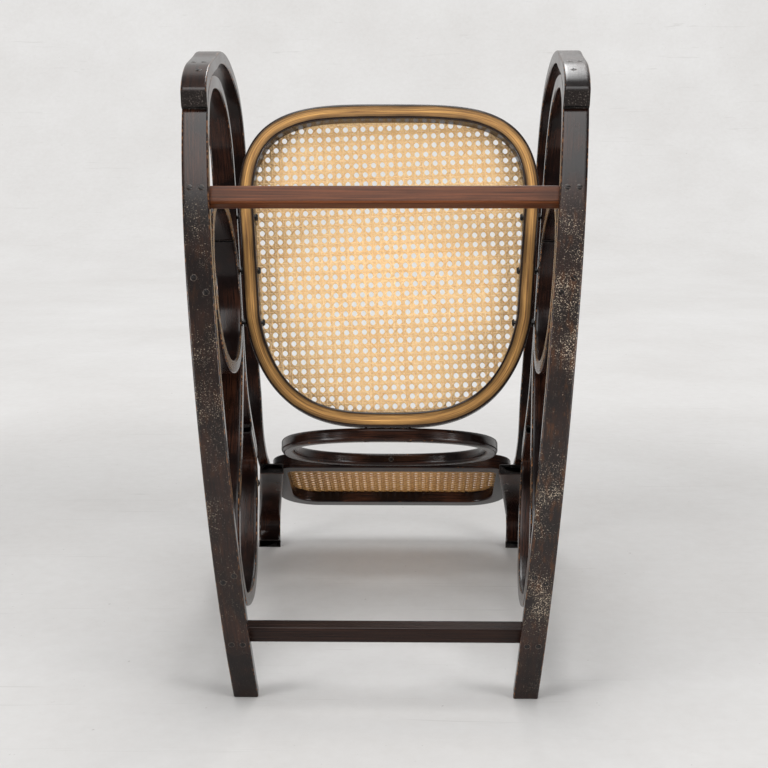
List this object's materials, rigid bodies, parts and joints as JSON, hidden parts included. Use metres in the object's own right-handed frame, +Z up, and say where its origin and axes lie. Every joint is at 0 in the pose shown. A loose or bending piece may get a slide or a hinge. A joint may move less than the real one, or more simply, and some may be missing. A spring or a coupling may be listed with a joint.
{
  "type": "bentwood rocking chair",
  "caption": "Armchair of steam-bent wood on two curved rockers, with caned seat and back panel, for rocking while sitting.",
  "frame": {"origin": "on the floor, at the bottom centre of the chair's box as it stands at rest on its rockers", "axes": "+Z up, -Y towards the front of the chair where the sitter's knees are, +X towards the chair's side that is on the right in the picture"},
  "size_m": [0.562, 0.8948, 0.8794],
  "materials": {
    "lacquered_beech": "black-brown glossy lacquer, worn",
    "red_brown_stretcher": "red-brown stain under clear lacquer",
    "bare_beech": "golden-brown, nearly bare underside",
    "cane": "natural woven cane",
    "dark_steel": "darkened steel screw heads"
  },
  "bodies": {
    "root": {"right_rocker": "lacquered_beech", "left_rocker": "lacquered_beech", "right_arm": "lacquered_beech", "left_arm": "lacquered_beech", "right_front_ring": "lacquered_beech", "left_front_ring": "lacquered_beech", "right_rear_loop": "lacquered_beech", "left_rear_loop": "lacquered_beech", "right_back_post": "lacquered_beech", "left_back_post": "lacquered_beech", "oval_ring": "lacquered_beech", "back_frame": "lacquered_beech", "front_stretcher": "red_brown_stretcher", "rear_stretcher": "red_brown_stretcher", "seat_rim": "bare_beech", "seat_cane": "cane", "seat_spline": "cane", "back_cane": "cane", "back_spline": "cane", "right_lap_screw_1": "dark_steel", "left_lap_screw_1": "dark_steel", "right_lap_screw_2": "dark_steel", "left_lap_screw_2": "dark_steel", "right_lap_screw_3": "dark_steel", "left_lap_screw_3": "dark_steel", "right_ring_screw_1": "dark_steel", "left_ring_screw_1": "dark_steel", "right_ring_screw_2": "dark_steel", "left_ring_screw_2": "dark_steel", "right_loop_screw_1": "dark_steel", "left_loop_screw_1": "dark_steel", "right_loop_screw_2": "dark_steel", "left_loop_screw_2": "dark_steel", "right_front_stretcher_screw_1": "dark_steel", "left_front_stretcher_screw_1": "dark_steel", "right_front_stretcher_screw_2": "dark_steel", "left_front_stretcher_screw_2": "dark_steel", "right_rear_stretcher_screw_1": "dark_steel", "left_rear_stretcher_screw_1": "dark_steel", "right_rear_stretcher_screw_2": "dark_steel", "left_rear_stretcher_screw_2": "dark_steel", "right_loop_tail_screw": "dark_steel", "left_loop_tail_screw": "dark_steel", "right_seat_bolt_1": "dark_steel", "left_seat_bolt_1": "dark_steel", "right_seat_bolt_2": "dark_steel", "left_seat_bolt_2": "dark_steel", "right_seat_bolt_3": "dark_steel", "left_seat_bolt_3": "dark_steel", "right_post_bolt": "dark_steel", "left_post_bolt": "dark_steel", "right_arm_end_screw": "dark_steel", "left_arm_end_screw": "dark_steel", "right_panel_screw_1": "dark_steel", "left_panel_screw_1": "dark_steel", "right_panel_screw_2": "dark_steel", "left_panel_screw_2": "dark_steel", "right_oval_foot_screw": "dark_steel", "left_oval_foot_screw": "dark_steel", "oval_head_screw": "dark_steel"}
  },
  "joints": []
}
